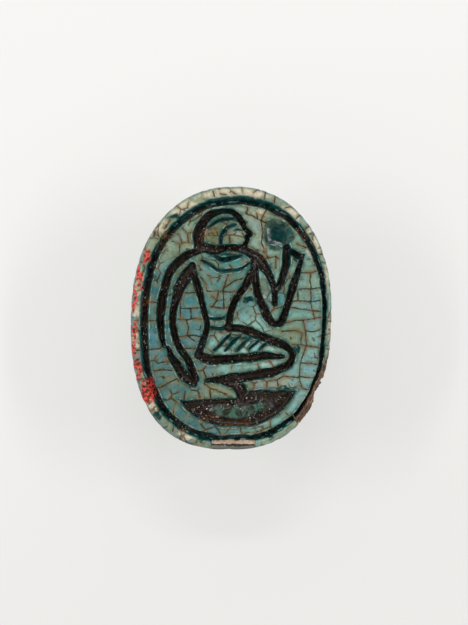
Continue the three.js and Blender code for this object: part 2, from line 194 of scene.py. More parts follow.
# The glaze's tone in each part of the face: x, y, how far it holds, and its colour.
GLAZE_TONES = {
    "left_ground": (-5.6, 0.5, 2.2, srgb(54, 104, 110)),
    "lower_left": (-4.5, -4.8, 1.8, srgb(66, 104, 103)),
    "upper_left": (-3.8, 6.8, 1.8, srgb(132, 150, 124)),
    "top": (1.2, 8.3, 1.5, srgb(132, 146, 128)),
    "right_top": (5.4, 3.5, 2.0, srgb(108, 142, 130)),
    "right": (6.0, 0.2, 1.8, srgb(106, 148, 142)),
    "right_low": (5.8, -3.2, 1.8, srgb(116, 154, 148)),
    "under_elbow": (4.4, -1.1, 1.0, srgb(98, 114, 86)),
    "torso": (-0.8, 2.2, 1.7, srgb(80, 122, 118)),
    "between_arm_and_torso": (-3.2, 0.2, 1.2, srgb(68, 120, 124)),
    "thigh": (1.2, -2.1, 1.4, srgb(142, 188, 176)),
    "shin": (0.4, -3.8, 1.0, srgb(104, 140, 130)),
    "tongue_right": (3.2, -4.9, 1.0, srgb(148, 154, 144)),
    "tongue_left": (-1.2, -5.5, 0.8, srgb(122, 132, 108)),
    "arm": (-4.7, 0.6, 0.5, srgb(84, 104, 84)),
    "arm_top": (-3.9, 4.0, 0.8, srgb(98, 116, 92)),
    "forearm": (3.9, 1.6, 0.7, srgb(60, 138, 146)),
    "wig": (-1.3, 6.6, 0.9, srgb(72, 78, 44)),
    "brow": (-0.4, 7.5, 0.6, srgb(98, 138, 128)),
    "collar": (-0.6, 4.4, 0.8, srgb(52, 122, 114)),
    "basket_rim": (3.2, -7.2, 1.0, srgb(112, 150, 140)),
}

SIDE_TONE = srgb(96, 136, 128)  # everywhere but on the face

# Places on the face, each with its x, y, half width and half length.
CLEAN_CUTS = (  # cuts with bare glaze in them instead of dirt
    (-0.4, 4.4, 1.5, 0.4), (3.4, 6.3, 1.25, 1.25), (4.8, 4.95, 0.5, 0.4), (4.25, 4.3, 0.3, 0.8),
    (0.8, -2.0, 2.4, 0.6), (-1.0, -0.4, 0.6, 0.5), (1.5, 7.0, 0.5, 0.6), (-0.6, 8.0, 0.9, 0.4),
    (-4.2, -3.0, 0.4, 0.5),
)
WORN = (  # glaze worn to beige
    (0.2, 9.3, 3.0, 0.6), (-3.6, 8.3, 1.6, 0.6), (4.4, 7.8, 1.2, 0.6), (6.1, 5.9, 0.6, 1.5),
    (-5.3, 7.0, 0.7, 0.6), (7.05, 3.0, 0.4, 1.0), (7.3, -0.8, 0.3, 0.6), (-7.1, -1.6, 0.5, 0.6),
    (-7.0, 0.5, 0.5, 0.6), (-6.9, 2.6, 0.5, 0.9), (-6.0, -6.5, 0.7, 0.8), (-3.2, -8.7, 0.8, 0.5),
    (0.3, -8.9, 1.4, 0.2), (2.2, 1.5, 0.45, 0.35), (2.6, 5.35, 0.4, 0.4), (2.2, 7.9, 0.6, 0.3),
)
RED_PAINT = (  # remains of red paint
    (-6.3, 4.5, 0.38, 0.62), (-6.95, 3.1, 0.27, 1.0), (-7.25, 1.4, 0.27, 1.0), (-7.35, -1.0, 0.2, 0.7),
    (-7.2, -2.3, 0.2, 0.7), (-6.95, -3.8, 0.3, 0.9), (-6.3, -5.4, 0.75, 0.95),
)
STAINS = (  # brown dirt and rust
    (-5.1, 6.0, 0.7, 0.7), (1.45, 0.1, 0.3, 0.4), (-5.0, -3.3, 0.5, 0.4), (-6.6, 1.2, 0.3, 0.5),
    (2.07, -8.27, 0.4, 0.35), (-3.6, -8.35, 0.3, 0.35), (-1.4, -7.45, 0.9, 0.3), (0.4, -7.95, 1.3, 0.22),
    (-1.6, 6.3, 0.7, 0.7), (-4.8, 8.1, 0.3, 0.3), (-5.7, -6.9, 0.35, 0.25), (2.3, 4.9, 0.5, 0.4),
    (5.3, 6.3, 0.3, 0.4), (5.0, -5.0, 0.25, 0.6),
)
TEAL_POOLS = (  # thick, dark glaze
    (1.3, 1.4, 0.6, 0.3), (4.85, 4.7, 0.35, 0.4), (-6.0, 2.9, 0.28, 0.6), (4.95, -2.3, 0.3, 0.35),
    (-0.5, 4.88, 1.1, 0.18), (-3.9, 7.6, 1.0, 0.25), (-5.9, 4.1, 0.3, 0.3), (-5.0, -6.2, 0.3, 0.25),
    (0.6, -1.5, 1.2, 0.2), (-2.9, -4.0, 0.25, 0.6), (3.6, -5.3, 1.4, 0.12), (-5.5, -7.4, 0.3, 0.35),
    (-2.3, -9.05, 0.5, 0.2), (2.6, -8.95, 0.5, 0.2), (-0.4, 4.75, 1.2, 0.3), (3.4, 6.25, 1.0, 1.1),
)
BARE_STONE = ((-5.6, 6.4, 0.12, 0.2),)  # glaze chipped off

# Cracks in the glaze, each a line of x, y places.
CRACKS = (
    # right of the figure
    
    (
        (5.4, -0.15), (5.57, -0.99), (5.66, -2.03), (5.4, -2.78),
        (5.2, -3.34), (5.19, -3.8), (5.1, -4.5), (5.36, -5.3),
    ),
    ((5, 2.19), (6.2, 2.2), (6.65, 2.25)), ((4.65, 1.25), (5.2, 1.27), (5.96, 1.21), (6.7, 1.35)),
    ((4.27, 0.79), (5, 0.7), (5.77, 0.6), (6.7, 0.5)), ((6.15, 0.5), (6.24, -0.1)),
    ((3.9, -0.43), (4.65, -0.24), (5.4, -0.15), (6.15, -0.06), (6.75, 0.08)),
    ((5.57, -0.99), (6.24, -1.01), (6.9, -0.8)),
    ((3.8, -1), (4.93, -0.95), (5.35, -1.23), (5.2, -1.7), (5.25, -2.03)),
    ((4.65, -2.03), (5.68, -2.07), (6.7, -2.26)), ((5.2, -3.36), (5.9, -3.42), (6.6, -3.48)),
    ((5.1, -4.42), (6.2, -4.48)), ((5.36, -5.3), (5.8, -5.4)), ((6, 2.2), (6, 1.25)),
    ((5.02, 2.19), (5.02, 1.3)), ((5.96, 1.2), (6.06, 0.6)), ((4.65, 1.25), (4.37, 0.79)),
    ((5.1, 3.35), (6.1, 3.4), (6.94, 3.68)), ((5.9, 3.4), (6, 2.2)), ((4.94, 5.6), (5.6, 5.27), (6.1, 5.35)),
    # above the arm, and over the head
    ((1.27, 8.27), (1.1, 7.85), (1.7, 7.6), (2.27, 7.27), (2.7, 7.1)),
    ((2.65, 8.18), (2.27, 7.27), (2.36, 6.35), (2.27, 5.68), (2.44, 5.18)), ((1.94, 7.85), (2, 7.5)),
    ((2.86, 4.5), (3.36, 4.6), (3.6, 4.43)), ((3.36, 4.6), (3.36, 3.7)),
    ((-4.86, 6.77), (-4.36, 6.5), (-3.86, 6.18), (-3.69, 5.68)),
    ((-4.44, 5.77), (-3.86, 5.52), (-3.36, 5.68), (-2.7, 5.6)), ((-3.86, 5.52), (-3.86, 4.85)),
    ((-3.69, 6.77), (-3.28, 6.35), (-2.7, 6.5)), ((-3.28, 6.35), (-3.19, 5.68)),
    # across the rim
    ((-1.36, 9.5), (-1.2, 8.85)), ((2.6, 9.5), (2.5, 8.8)), ((3.3, 9.1), (3.27, 8.5)),
    ((5.2, 7.75), (4.7, 7.3)), ((5.9, 6.9), (5.5, 6.6)), ((6.3, 4.75), (7, 4.8)),
    ((-5, 6.7), (-4.7, 7.2), (-4.5, 7.4)), ((-7.19, -0.19), (-6.7, -0.19)), ((-7.19, -0.94), (-6.7, -0.94)),
    ((-7.19, -2.4), (-6.6, -2.44)), ((-6, -7), (-5.6, -6.6)), ((-4.25, -7.9), (-4.36, -8.5)),
    ((1.78, -8.7), (1.78, -9.6)), ((-1.5, -9), (-1.5, -9.6)), ((4.1, -7.07), (4.5, -7.4)),
    # between the arm and the body
    ((-3.53, 1.89), (-2.69, 1.89)), ((-3.78, 0.72), (-3.1, 0.68), (-2.42, 0.77)),
    ((-4, -0.07), (-3.36, -0.15), (-2.7, -0.03), (-2.15, -0.1)),
    ((-3.69, 1.8), (-3.78, 0.77), (-3.78, -0.07)), ((-3.03, 0.68), (-2.98, -0.07)),
    ((-3.36, -0.15), (-3.2, -0.73), (-3.28, -1.3)),
    ((-3.86, -1.4), (-3.28, -1.32), (-2.6, -1.32), (-2.2, -1.4)), ((-3.28, -1.32), (-2.7, -1.73)),
    ((-3.6, -2.3), (-2.7, -2.3)),
    # on the body
    ((-2.28, 3.1), (-1.86, 2.43), (-1.78, 2.02), (-0.94, 2.02), (-0.28, 1.93), (0.3, 1.98)),
    ((-0.94, 2.02), (-1.1, 1.27), (-1.44, 0.77)), ((-0.6, 2.1), (-0.19, 3.27)),
    ((-0.6, 2.18), (0.23, 2.77), (0.9, 3)), ((-0.6, 2.02), (-0.53, 0.75)),
    ((-1.53, 0.85), (-0.53, 0.72), (-0.1, 0.8)), ((-1.44, 1.68), (-1.1, 1.27), (-0.55, 1.35)),
    ((2.02, -3.4), (2.1, -3.8)), ((2.8, -3.15), (3.2, -3.65)),
    # left of the figure
    ((-6.2, 1.18), (-5.6, 1.18)), ((-6.19, -0.19), (-5.6, -0.19)),
    ((-6.3, -2.4), (-5.36, -2.3), (-5.1, -1.98)), ((-5.9, -3.98), (-5.2, -3.86), (-4.36, -3.98)),
    ((-5.5, -5.3), (-4.7, -4.9), (-4.03, -4.57), (-3.9, -4.75)), ((-3.44, -5.5), (-3.55, -6.15)),
    # below the leg
    ((2.36, -4.57), (2.65, -4.8), (3.44, -4.65), (3.94, -4.4), (4.44, -4.4), (5.1, -4.5)),
    ((3.44, -4.65), (3.6, -5.25)), ((2.65, -4.8), (2.7, -5.2)),
    ((-2.5, -3.94), (-2.1, -3.94), (-1.86, -3.65)),
    ((-2.1, -3.94), (-1.86, -4.4), (-2.03, -4.9), (-1.6, -5.27), (-1.1, -5.4), (-0.36, -5.73)),
    ((-1.6, -5.27), (-1.53, -6)),
)

# ---------------------------------------------------------------- mesh density

FACE_COLUMNS = 208
FACE_ROWS = 272
PLATE_ROWS = 15  # down the side of the plate
TUCK_ROWS = 7  # in under the plate
FLANK_ROWS = 22  # down the beetle's flank
SIDE_ROWS = PLATE_ROWS + TUCK_ROWS + FLANK_ROWS
EVEN_SHARE = 0.8  # the face's points within this share of the radius take no notice of the break

# ---------------------------------------------------------------- curves and fields


def smooth_step(low, high, value):
    """0 at low, 1 at high and smooth between, whichever of the two is the larger."""
    share = np.clip((value - low) / (high - low), 0, 1)
    return share * share * (3 - 2 * share)


def noise(points, scale, seed):
    """Smooth noise from -1 to 1 at each point, with features about scale millimetres across."""
    size = 32
    lattice = np.random.default_rng(seed).uniform(-1, 1, (size, size, size))
    place = points / scale
    cell = np.floor(place).astype(int)
    within = place - cell
    within = within * within * (3 - 2 * within)
    total = np.zeros(len(points))
    for corner in itertools.product((0, 1), repeat=3):
        weight = np.prod(np.where(np.array(corner) == 1, within, 1 - within), axis=1)
        i, j, k = ((cell + corner) % size).T
        total += weight * lattice[i, j, k]
    return total


def flat_noise(xy, scale, seed):
    return noise(np.column_stack((xy, np.full(len(xy), seed * 0.37))), scale, seed)


def shake(xy, scale, seed):
    """A move along x and y for each point, both of them smooth noise from -1 to 1."""
    return np.column_stack((flat_noise(xy, scale, seed), flat_noise(xy, scale, seed + 1)))


def spline(points, spacing=0.1):
    """Points about this far apart on a Catmull-Rom curve through the given ones."""
    given = np.array(points, float)
    given = np.vstack((2 * given[0] - given[1], given, 2 * given[-1] - given[-2]))
    made = []
    for a, b, c, d in zip(given, given[1:], given[2:], given[3:]):
        steps = max(2, round(float(np.hypot(*(c - b)[:2])) / spacing))
        t = (np.arange(steps) / steps)[:, None]
        made.append(
            0.5 * (2 * b + (c - a) * t + (2 * a - 5 * b + 4 * c - d) * t**2 + (3 * b - a - 3 * c + d) * t**3)
        )
    return np.vstack((*made, given[-2:-1]))


def arc_between(start, pull, end):
    """Points on the curve that leaves start for the point pull and comes from it into end."""
    t = np.arange(0, 1, 0.1)[:, None]
    return (1 - t) ** 2 * np.array(start) + 2 * t * (1 - t) * np.array(pull) + t**2 * np.array(end)


def along_line(xy, line, reach=1.0):
    """How far each point is outside the edge of a line of x, y, width rows, and the line's width there."""
    edge = np.full(len(xy), reach)
    width = np.full(len(xy), 0.1)
    low = line[:, :2].min(0) - reach
    high = line[:, :2].max(0) + reach
    near = np.flatnonzero(np.all((xy > low) & (xy < high), axis=1))
    points = xy[near]
    best, best_width = edge[near], width[near]
    for a, b in zip(line, line[1:]):
        step = b[:2] - a[:2]
        t = np.clip(((points - a[:2]) @ step) / max(step @ step, 1e-9), 0, 1)
        across = a[2] + t * (b[2] - a[2])
        gap = np.hypot(*(points - a[:2] - t[:, None] * step).T) - across / 2
        closer = gap < best
        best = np.where(closer, gap, best)
        best_width = np.where(closer, across, best_width)
    edge[near], width[near] = best, best_width
    return edge, width


def outside_outline(xy, corners, reach=1.0, inner_reach=3.0):
    """How far each point is outside a closed outline, and less than nothing inside it."""
    line = np.column_stack((corners, np.zeros(len(corners))))
    line = np.vstack((line, line[:1]))
    inside = np.zeros(len(xy), bool)
    for (x0, y0, _), (x1, y1, _) in zip(line, line[1:]):
        crosses = (y0 > xy[:, 1]) != (y1 > xy[:, 1])
        if y0 != y1:
            inside ^= crosses & (xy[:, 0] < x0 + (xy[:, 1] - y0) * (x1 - x0) / (y1 - y0))
    outward, _ = along_line(xy, line, reach)
    inward, _ = along_line(xy, line, inner_reach)
    return np.where(inside, -inward, outward)


def round_values(pairs, angle):
    """Values given at even steps of degrees, joined smoothly round the turn, at these angles in radians."""
    degrees, values = np.array(pairs, float).T
    turned = (np.degrees(angle) - degrees[0]) % 360
    step = degrees[1] - degrees[0]
    index = (turned // step).astype(int) % len(values)
    share = smooth_step(0, 1, (turned % step) / step)
    return values[index] * (1 - share) + values[(index + 1) % len(values)] * share


# ---------------------------------------------------------------- the oval


def oval_share(x, y, half_width, half_length):
    """How far out each place is on an oval of this size, from 0 at its centre to 1 on its outline."""
    power = SQUARENESS["middle"] - SQUARENESS["lower_end"] * np.sin(np.arctan2(y, x))
    return (np.abs(x / half_width) ** power + np.abs(y / half_length) ** power) ** (1 / power)


def oval_radius(direction):
    """Distance from the centre to the outline, before its lean, in these directions in radians."""
    return 1 / oval_share(np.cos(direction), np.sin(direction), HALF_WIDTH, HALF_LENGTH)


def lean(x, y):
    return x + LEAN * y


def upright(xy):
    """The x and y of each point once the oval's lean is taken out."""
    return xy[:, 0] - LEAN * xy[:, 1], xy[:, 1]


def on_oval(turn):
    """The direction of each turn, evenly spread along the outline."""
    return np.arctan2(HALF_LENGTH * np.sin(turn), HALF_WIDTH * np.cos(turn))


def break_radius(direction, corners):
    """Distance from the centre to a line of the break in these directions, and FAR beside the break."""
    x, y = upright(np.array(corners))
    turn = np.arctan2(y, x)
    order = np.argsort(turn)
    inside = (direction > turn.min()) & (direction < turn.max())
    return np.where(inside, np.interp(direction, turn[order], np.hypot(x, y)[order]), FAR)


def in_break(direction):
    return break_radius(direction, BREAK_TOP) < FAR


def plate_radius(direction, height):
    """Distance from the centre to the plate's side at this height, which is a ragged slope in the break."""
    down = (HEIGHT - height) / PLATE
    top, foot = break_radius(direction, BREAK_TOP), break_radius(direction, BREAK_FOOT)
    arc = direction * 9
    grain = np.column_stack((arc, height * 0.8 + arc * 0.9, np.zeros(len(direction))))
    rough = 0.15 * noise(grain * (0.5, 2.2, 1), 0.5, 21) + 0.07 * noise(grain * (1, 3, 1), 0.25, 22)
    stepped = down + 0.35 * rough / 0.16 * down * (1 - down)
    slope = top + (foot - top) * np.clip(stepped, 0, 1) + rough * smooth_step(0, 0.15, down)
    nicks = 0.05 * np.maximum(0, noise(grain, 0.6, 23) + 0.5 * noise(grain, 0.25, 24))
    whole = oval_radius(direction) - nicks
    return np.where((top < FAR) & (foot < FAR), np.minimum(slope, whole), whole)


# ---------------------------------------------------------------- the engraved face


def pleat(index):
    x, y, width = PLEATS["x"] + PLEATS["spacing"] * index, PLEATS["y"], PLEAT["width"]
    reach = PLEAT["length"] - PLEAT["shortening"] * index
    middle = (x + 0.5 * reach, y + 0.46 * reach, 1.2 * width)
    return (x, y, width), middle, (x + reach, y + 0.92 * reach, 0.8 * width)


def basket_outline():
    left, right, bottom = BASKET["left"], BASKET["right"], BASKET["bottom"]
    return np.vstack((
        arc_between(left, (left[0] + 1.2, bottom[1] + 0.1), bottom),
        arc_between(bottom, (right[0] - 1.1, bottom[1] + 0.2), right),
        (right, (1.4, right[1]), (0.3, -6)),
    ))


def lotus_outline():
    foot, (top_left, top_right) = LOTUS["foot"], LOTUS["top"]
    middle = ((foot["left"] + foot["right"]) / 2, foot["y"] - foot["bow"])
    return np.vstack((
        arc_between((foot["left"], foot["y"]), middle, (foot["right"], foot["y"])),
        arc_between(LOTUS["right"], (top_right[0] + 0.5, top_right[1] - 0.1), top_right),
        arc_between(top_right, (middle[0], top_right[1] + 0.35), top_left),
        arc_between(top_left, (LOTUS["left"][0] - 0.05, top_left[1] - 0.15), LOTUS["left"]),
    ))


def border_place(xy):
    """How far out each point is from the middle of the line round the scene, and its turn round it."""
    x, y = upright(xy)
    x, y = x - BORDER["x"], y - BORDER["y"]
    share = oval_share(x, y, BORDER["half_width"], BORDER["half_length"])
    out = (1 - 1 / np.maximum(share, 1e-3)) * np.hypot(x, y)
    return out, np.arctan2(y / BORDER["half_length"], x / BORDER["half_width"])


def border_cut(xy):
    """How far each point is outside the dirt in the line round the scene, and that line's depth there."""
    out, turn = border_place(xy)
    half = round_values(BORDER_WIDTHS, turn) / 2
    outer = smooth_step(half * 0.1, half + round_values(BORDER_SLOPES, turn), out)
    inner = smooth_step(-half * 0.35, -half, out)
    return np.abs(out) - half, BORDER["depth"] * (1 - np.maximum(outer, inner))


def rim_round(direction):
    """Radius of the rim's outer edge, which is sharp in the break."""
    return np.where(in_break(direction), SHARP, round_values(RIM_ROUND, direction))


def painted_highlight_in_cuts(xy):
    """How strongly each point lies on the painted highlight line along the middle of some cuts."""
    shaken = xy + 0.08 * shake(xy, 0.9, 11)
    ridge = np.zeros(len(xy))
    for name in PAINTED_HIGHLIGHT_LINES:
        gap, width = along_line(shaken, spline(LINES[name]))
        middle = gap + width / 2 - 0.05
        ridge = np.maximum(ridge, np.exp(-((middle / 0.05) ** 2)) * smooth_step(0.3, 0.45, width))
    return ridge * smooth_step(-0.25, 0.2, flat_noise(xy, 1.4, 13))


def nick_cut(xy):
    """How deep the chip in the rim's lower edge is at each point."""
    ragged = xy + 0.05 * shake(xy, 0.35, 31)
    within = np.minimum(ragged[:, 0] - NICK["left"], NICK["right"] - ragged[:, 0])
    within = np.minimum(within, NICK["y"] - ragged[:, 1])
    return NICK["depth"] * smooth_step(0, 0.1, within) * (1 + 0.4 * flat_noise(xy, 0.3, 33))


def engraving(xy):
    """How far each point is outside the nearest cut, and how deep the engraving is there."""
    shaken = xy + 0.07 * shake(xy, 0.8, 1) + 0.03 * shake(xy, 0.22, 8)
    edge, depth = border_cut(shaken)
    spread = SPREAD * (1 + 0.9 * flat_noise(xy, 1.1, 7))
    lines = [(points, name in FINE_LINES) for name, points in LINES.items()]
    lines += [(pleat(index), True) for index in range(PLEATS["count"])]
    for points, fine in lines:
        gap, width = along_line(shaken, spline(points))
        if not fine:
            gap, width = gap - spread / 2, width + spread
        deepest = np.minimum(CUT_DEPTH, CUT_STEEPNESS * width) * (FINE_DEPTH if fine else 1)
        inward = np.clip((0.03 - gap) / (width / 2 + 0.03), 0, 1)
        cut = deepest * (1 - (1 - inward) ** 2) * smooth_step(0.03, -0.03, gap)
        edge = np.minimum(edge, gap)
        depth = np.maximum(depth, cut)
    for outline, hollow in ((basket_outline(), BASKET), (lotus_outline(), LOTUS)):
        gap = outside_outline(shaken, outline)
        edge = np.minimum(edge, gap)
        depth = np.maximum(depth, hollow["depth"] * (1 - smooth_step(-hollow["wall"], 0.02, gap)))
    return edge, depth - 0.4 * basket_bed(xy)


def basket_bed(xy):
    """How strongly the floor of the basket swells up at each point."""
    shaken = xy + 0.2 * shake(xy, 0.8, 95)
    offs = [np.hypot((shaken[:, 0] - x) / wide, (shaken[:, 1] - y) / long) for x, y, wide, long in BASKET_BED]
    return smooth_step(1.15, 0.35, np.minimum.reduce(offs)) * (0.8 + 0.2 * flat_noise(xy, 0.5, 97))


def face_height(xy, edge, depth):
    """Height of the engraved face: the ground dips a little to each cut, and the cuts have uneven floors."""
    points = np.column_stack((xy, np.zeros(len(xy))))
    ground = 0.07 * np.exp(-np.maximum(edge, 0) / 0.22)
    waves = 0.02 * noise(points, 2.2, 3) + 0.012 * noise(points, 0.6, 4)
    floor = depth * (0.07 * noise(points, 0.5, 5) + 0.04 * noise(points, 0.18, 6))
    return HEIGHT - 0.03 - ground - depth + waves + floor - nick_cut(xy)


# ---------------------------------------------------------------- the beetle


def dome_height(x, y):
    across = np.abs(x / BACK["half_width"]) ** BACK["squareness"]
    along = np.abs((y - BACK["y"]) / BACK["half_length"]) ** BACK["squareness"]
    share = np.maximum(0, 1 - across - along) ** (1 / BACK["squareness"])
    return BACK_EDGE - (BACK_EDGE + BACK_WORN) * share


def head_outline():
    """The head from above, from the right of its neck round its toothed edge to the left."""
    (cheek_x, cheek_y), (brow_x, brow_y) = HEAD["cheek"], HEAD["brow"]
    tooth = 2 * brow_x / TEETH["count"]
    teeth = [
        corner
        for index in range(TEETH["count"])
        for corner in (
            (brow_x - index * tooth, brow_y),
            (brow_x - (index + 0.5) * tooth, brow_y + TEETH["depth"]),
        )
    ]
    return np.array((
        (-cheek_x, HEAD["neck"]), (cheek_x, HEAD["neck"]), (cheek_x, cheek_y),
        *teeth, (-brow_x, brow_y), (-cheek_x, cheek_y),
    ))


def head_height(x, y):
    """Height of the head's back over the surface below, and FAR beside the head."""
    inside = -outside_outline(np.column_stack((x, y)), head_outline())
    rounding = 0.9 * (1 - np.sqrt(np.clip(inside / 0.9, 0, 1) * (2 - np.clip(inside / 0.9, 0, 1))))
    top = HEAD["low"] + HEAD["tilt"] * (y - HEAD["neck"]) + rounding
    height = np.where(inside > 0, top, FAR)
    for side in (-1, 1):
        off = [(x - side * EYE["x"]) / EYE["sizes"][0], (y - EYE["y"]) / EYE["sizes"][1]]
        bulge = EYE["height"] - EYE["sizes"][2] * np.sqrt(np.clip(1 - off[0] ** 2 - off[1] ** 2, 0, 1))
        height = np.where(off[0] ** 2 + off[1] ** 2 < 1, np.minimum(height, bulge), height)
    return height


def back_lines(x, y):
    """Depth of the lines cut in the back: behind the fore part, and between the wing cases."""
    across = np.abs(y - WAIST["y"] + WAIST["bow"] * x**2)
    along = np.where(y < WAIST["y"], np.abs(x), 9)
    off = np.minimum(across, along) / (WAIST["width"] / 2)
    return WAIST["width"] / 2 * np.sqrt(np.clip(1 - off**2, 0, 1))


def under_height(x, y):
    """Height over the surface of what shows of the beetle from below."""
    dome = dome_height(x, y) + np.where(dome_height(x, y) < BACK_EDGE - 0.3, back_lines(x, y), 0)
    return np.maximum(0, np.minimum(dome, head_height(x, y)))


def leg_ridge(direction, height):
    """How far the legs stand out of the flank."""
    around = 7.6
    folded = np.degrees(np.arctan2(np.sin(direction), np.abs(np.cos(direction))))
    places = np.column_stack((np.radians(folded) * around, height))
    proud = np.zeros(len(places))
    for stations in LEGS:
        path = np.array([(math.radians(angle) * around, z, 0) for angle, z in stations])
        gap, _ = along_line(places, spline(path, 0.4), 1.5)
        ridge = LEG["proud"] * np.sqrt(np.clip(1 - (gap / LEG["thick"]) ** 2, 0, 1))
        proud = np.maximum(proud, ridge)
    return proud


def ray_reach(direction, inside):
    """How far along each direction from the centre inside(x, y) still holds."""
    near = np.zeros(len(direction))
    far = np.full(len(direction), HALF_LENGTH)
    for _ in range(24):
        middle = (near + far) / 2
        holds = inside(middle * np.cos(direction), middle * np.sin(direction))
        near = np.where(holds, middle, near)
        far = np.where(holds, far, middle)
    return near


# ---------------------------------------------------------------- the mesh


def disc_grid():
    """The turn and the share of the radius at each point of a grid pressed from a rectangle into a disc."""
    u, v = np.meshgrid(np.linspace(-1, 1, FACE_COLUMNS + 1), np.linspace(-1, 1, FACE_ROWS + 1))
    share = np.maximum(np.abs(u), np.abs(v))
    safe = np.maximum(share, 1e-9)
    sideways = np.abs(u) >= np.abs(v)
    turn = np.where(
        sideways,
        np.where(u >= 0, 0, math.pi) + math.pi / 4 * v / np.where(u == 0, safe, u),
        np.where(v >= 0, 1, -1) * math.pi / 2 - math.pi / 4 * u / np.where(v == 0, safe, v),
    )
    return turn, share


def grid_index(columns, rows, first):
    return first + np.arange((columns + 1) * (rows + 1)).reshape(rows + 1, columns + 1)


def grid_faces(columns, rows, first=0, flip=False):
    index = grid_index(columns, rows, first)
    quads = np.stack((index[:-1, :-1], index[:-1, 1:], index[1:, 1:], index[1:, :-1]), -1).reshape(-1, 4)
    return quads[:, ::-1] if flip else quads


def rim_loop(columns, rows, first=0):
    """Indices round the edge of a grid, anticlockwise from its lower left corner."""
    index = grid_index(columns, rows, first)
    return np.concatenate((index[0, :-1], index[:-1, -1], index[-1, :0:-1], index[:0:-1, 0]))


def side_profile(direction, low_radius):
    """Radius and height of each row of points from under the rim down to the edge of the back."""
    top = HEIGHT - rim_round(direction)
    plate_low = HEIGHT - PLATE
    rows = []
    for share in np.linspace(0, 1, PLATE_ROWS + 1)[1:]:
        height = top + (plate_low + TUCK - top) * share
        rows.append((plate_radius(direction, height), height))
    radius = rows[-1][0]
    flank = np.minimum(FLANK_SHARE * oval_radius(direction), radius - 0.05)
    for share in np.linspace(0, 1, TUCK_ROWS + 1)[1:]:
        height = plate_low + TUCK * (1 - math.sin(share * math.pi / 2))
        reach = radius + (flank - 0.1 - radius) * smooth_step(0, 1, share)
        rows.append((reach, np.full(len(radius), height)))
    for share in np.linspace(0, 1, FLANK_ROWS + 1)[1:]:
        height = np.full(len(radius), plate_low + (BACK_EDGE - plate_low) * share)
        undercut = flank - 0.1 * (1 - smooth_step(0, 0.25, share)) + leg_ridge(direction, height)
        head = low_radius * (low_radius > flank + 0.2) * (np.sin(direction) > 0.5)
        reach = np.maximum(undercut, head * smooth_step(0, 0.2, share))
        lip = smooth_step(0.84, 0.93, share)
        rows.append((reach * (1 - lip) + np.maximum(low_radius, flank) * lip, height))
    return rows


def face_points():
    """Points of the engraved face and of the rim's rounding, and the direction of each."""
    turn, share = disc_grid()
    direction, share = on_oval(turn).ravel(), share.ravel()
    rounding = rim_round(direction)
    flat = plate_radius(direction, HEIGHT - rounding) - rounding
    even = EVEN_SHARE * oval_radius(direction)
    run = even + (flat + rounding * math.pi / 2 - even) * (share - EVEN_SHARE) / (1 - EVEN_SHARE)
    run = np.where(share < EVEN_SHARE, share / EVEN_SHARE * even, run)
    bend = np.clip((run - flat) / rounding, 0, math.pi / 2)
    reach = np.where(bend > 0, flat + rounding * np.sin(bend), run)
    y = reach * np.sin(direction)
    xy = np.column_stack((lean(reach * np.cos(direction), y), y))
    edge, depth = engraving(xy)
    drop = rounding * (1 - np.cos(bend))
    return np.column_stack((xy, face_height(xy, edge, depth * (share < 0.999)) - drop)), direction


def low_edge(direction):
    """Distance from the centre to the edge of the back, which the head pushes out."""

    def on_head(x, y):
        return (y < HEAD["neck"]) | (outside_outline(np.column_stack((x, y)), head_outline()) < 0)

    dome = ray_reach(direction, lambda x, y: dome_height(x, y) < BACK_EDGE)
    head = ray_reach(direction, on_head)
    beside = np.abs(head * np.cos(direction)) > HEAD["cheek"][0] + 0.05
    head = np.where(beside | (np.sin(direction) < 0.7), 0, head)
    return np.maximum.reduce((FLANK_SHARE * oval_radius(direction), dome, head))


def under_points(ring_direction, low_radius):
    """Points of the back and the head, within the edge given by its radius in some directions."""
    turn, share = (values[::2, ::2].ravel() for values in disc_grid())
    direction = on_oval(turn)
    order = np.argsort(ring_direction)
    radius = np.interp(direction, ring_direction[order], low_radius[order], period=2 * math.pi)
    reach = radius * np.sin(share * math.pi / 2)
    x, y = reach * np.cos(direction), reach * np.sin(direction)
    return np.column_stack((lean(x, y), y, np.minimum(BACK_EDGE, under_height(x, y))))


def amulet_shape():
    """All points of the amulet in millimetres, and its faces."""
    face, face_direction = face_points()
    fine = rim_loop(FACE_COLUMNS, FACE_ROWS)
    direction = face_direction[fine][::2]
    low_radius = low_edge(direction)
    side = []
    for reach, height in side_profile(direction, low_radius):
        y = reach * np.sin(direction)
        side.append(np.column_stack((lean(reach * np.cos(direction), y), y, height)))

    points = np.vstack((face, *side, under_points(direction, low_radius)))
    columns, rows, ring = FACE_COLUMNS // 2, FACE_ROWS // 2, len(direction)
    under_first = len(face) + ring * SIDE_ROWS
    under_loop = rim_loop(columns, rows, under_first)
    points[under_loop] = side[-1]
    rings = [len(face) + row * ring + np.arange(ring) for row in range(SIDE_ROWS - 1)] + [under_loop]
    quads = [grid_faces(FACE_COLUMNS, FACE_ROWS), grid_faces(columns, rows, under_first, flip=True)]
    for upper, lower in zip(rings, rings[1:]):
        quads.append(np.column_stack((upper, lower, np.roll(lower, -1), np.roll(upper, -1))))
    here, after = rings[0], np.roll(rings[0], -1)
    a, b, c = fine[::2], fine[1::2], np.roll(fine[::2], -1)
    triangles = [np.column_stack(corners) for corners in ((a, here, b), (b, here, after), (b, after, c))]
    return points, [*np.vstack(quads).tolist(), *np.vstack(triangles).tolist()]


def spots(xy, places, ragged, seed):
    """How strongly each point lies in some places, each given as x, y, half width, half length."""
    torn = xy + ragged * shake(xy, 0.45, seed) + 0.4 * ragged * shake(xy, 0.15, seed + 2)
    total = np.zeros(len(xy))
    for x, y, half_width, half_length in places:
        off = np.hypot((torn[:, 0] - x) / half_width, (torn[:, 1] - y) / half_length)
        total = np.maximum(total, 1 - smooth_step(0.75, 1.1, off))
    return total


